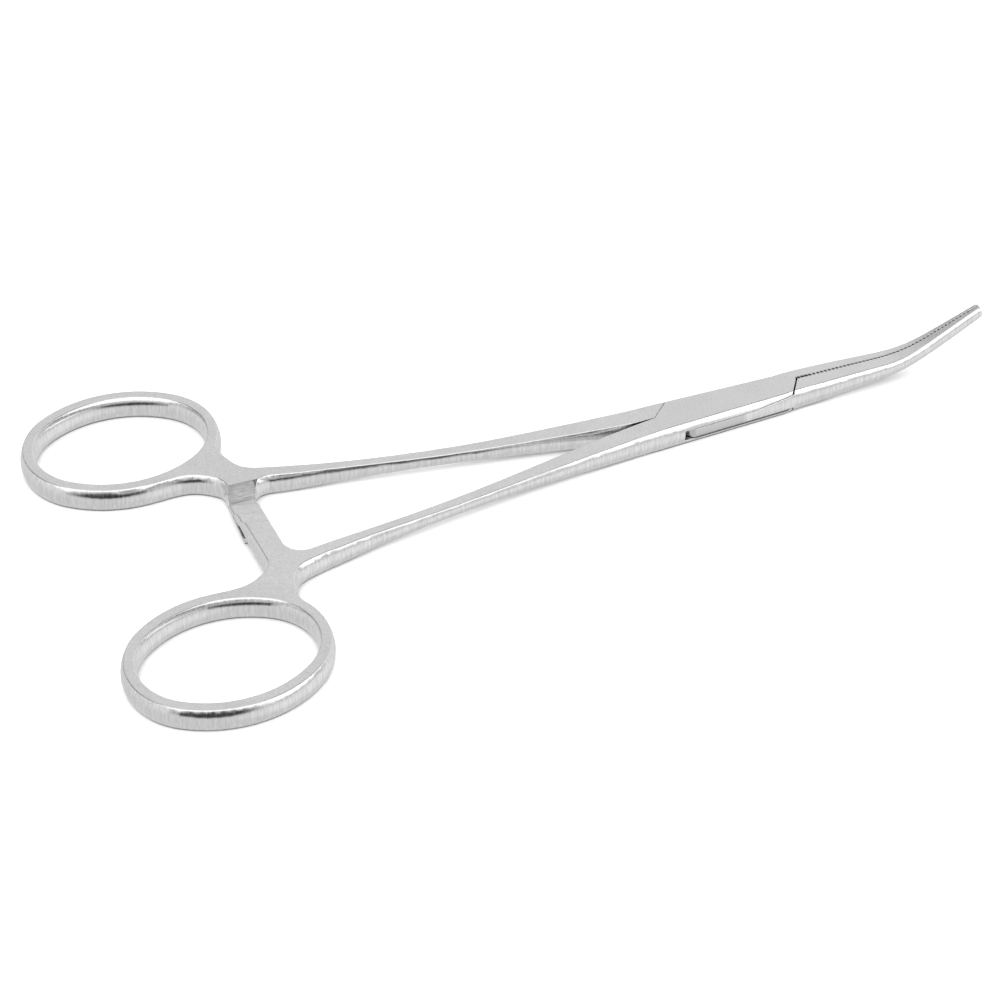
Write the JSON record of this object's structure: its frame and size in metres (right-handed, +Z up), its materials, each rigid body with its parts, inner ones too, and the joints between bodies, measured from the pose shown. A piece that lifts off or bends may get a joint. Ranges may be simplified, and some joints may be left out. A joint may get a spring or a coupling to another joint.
{
  "type": "hemostat forceps",
  "caption": "Slim surgical forceps with a box lock, finger rings, a ratchet between the shanks and cross-serrated jaws that curve up to a narrow tip.",
  "frame": {"origin": "on the pivot's axis, at the underside of the box lock, which rests on the table", "axes": "+X from the finger rings to the jaws' tip, +Y towards the male half's ring, +Z up, the way the jaws curve"},
  "size_m": [0.1399, 0.0714, 0.0087],
  "materials": {
    "instrument_steel": "satin flats with polished sides"
  },
  "bodies": {
    "female": {"female_half": "instrument_steel", "pivot_pin": "instrument_steel"},
    "male": {"male_half": "instrument_steel"}
  },
  "joints": [
    {"name": "box_lock_pivot", "type": "hinge", "parent": "female", "child": "male", "pos_m": [0, 0, 0], "axis": [0, 0, -1], "range_deg": [0, 60]}
  ]
}
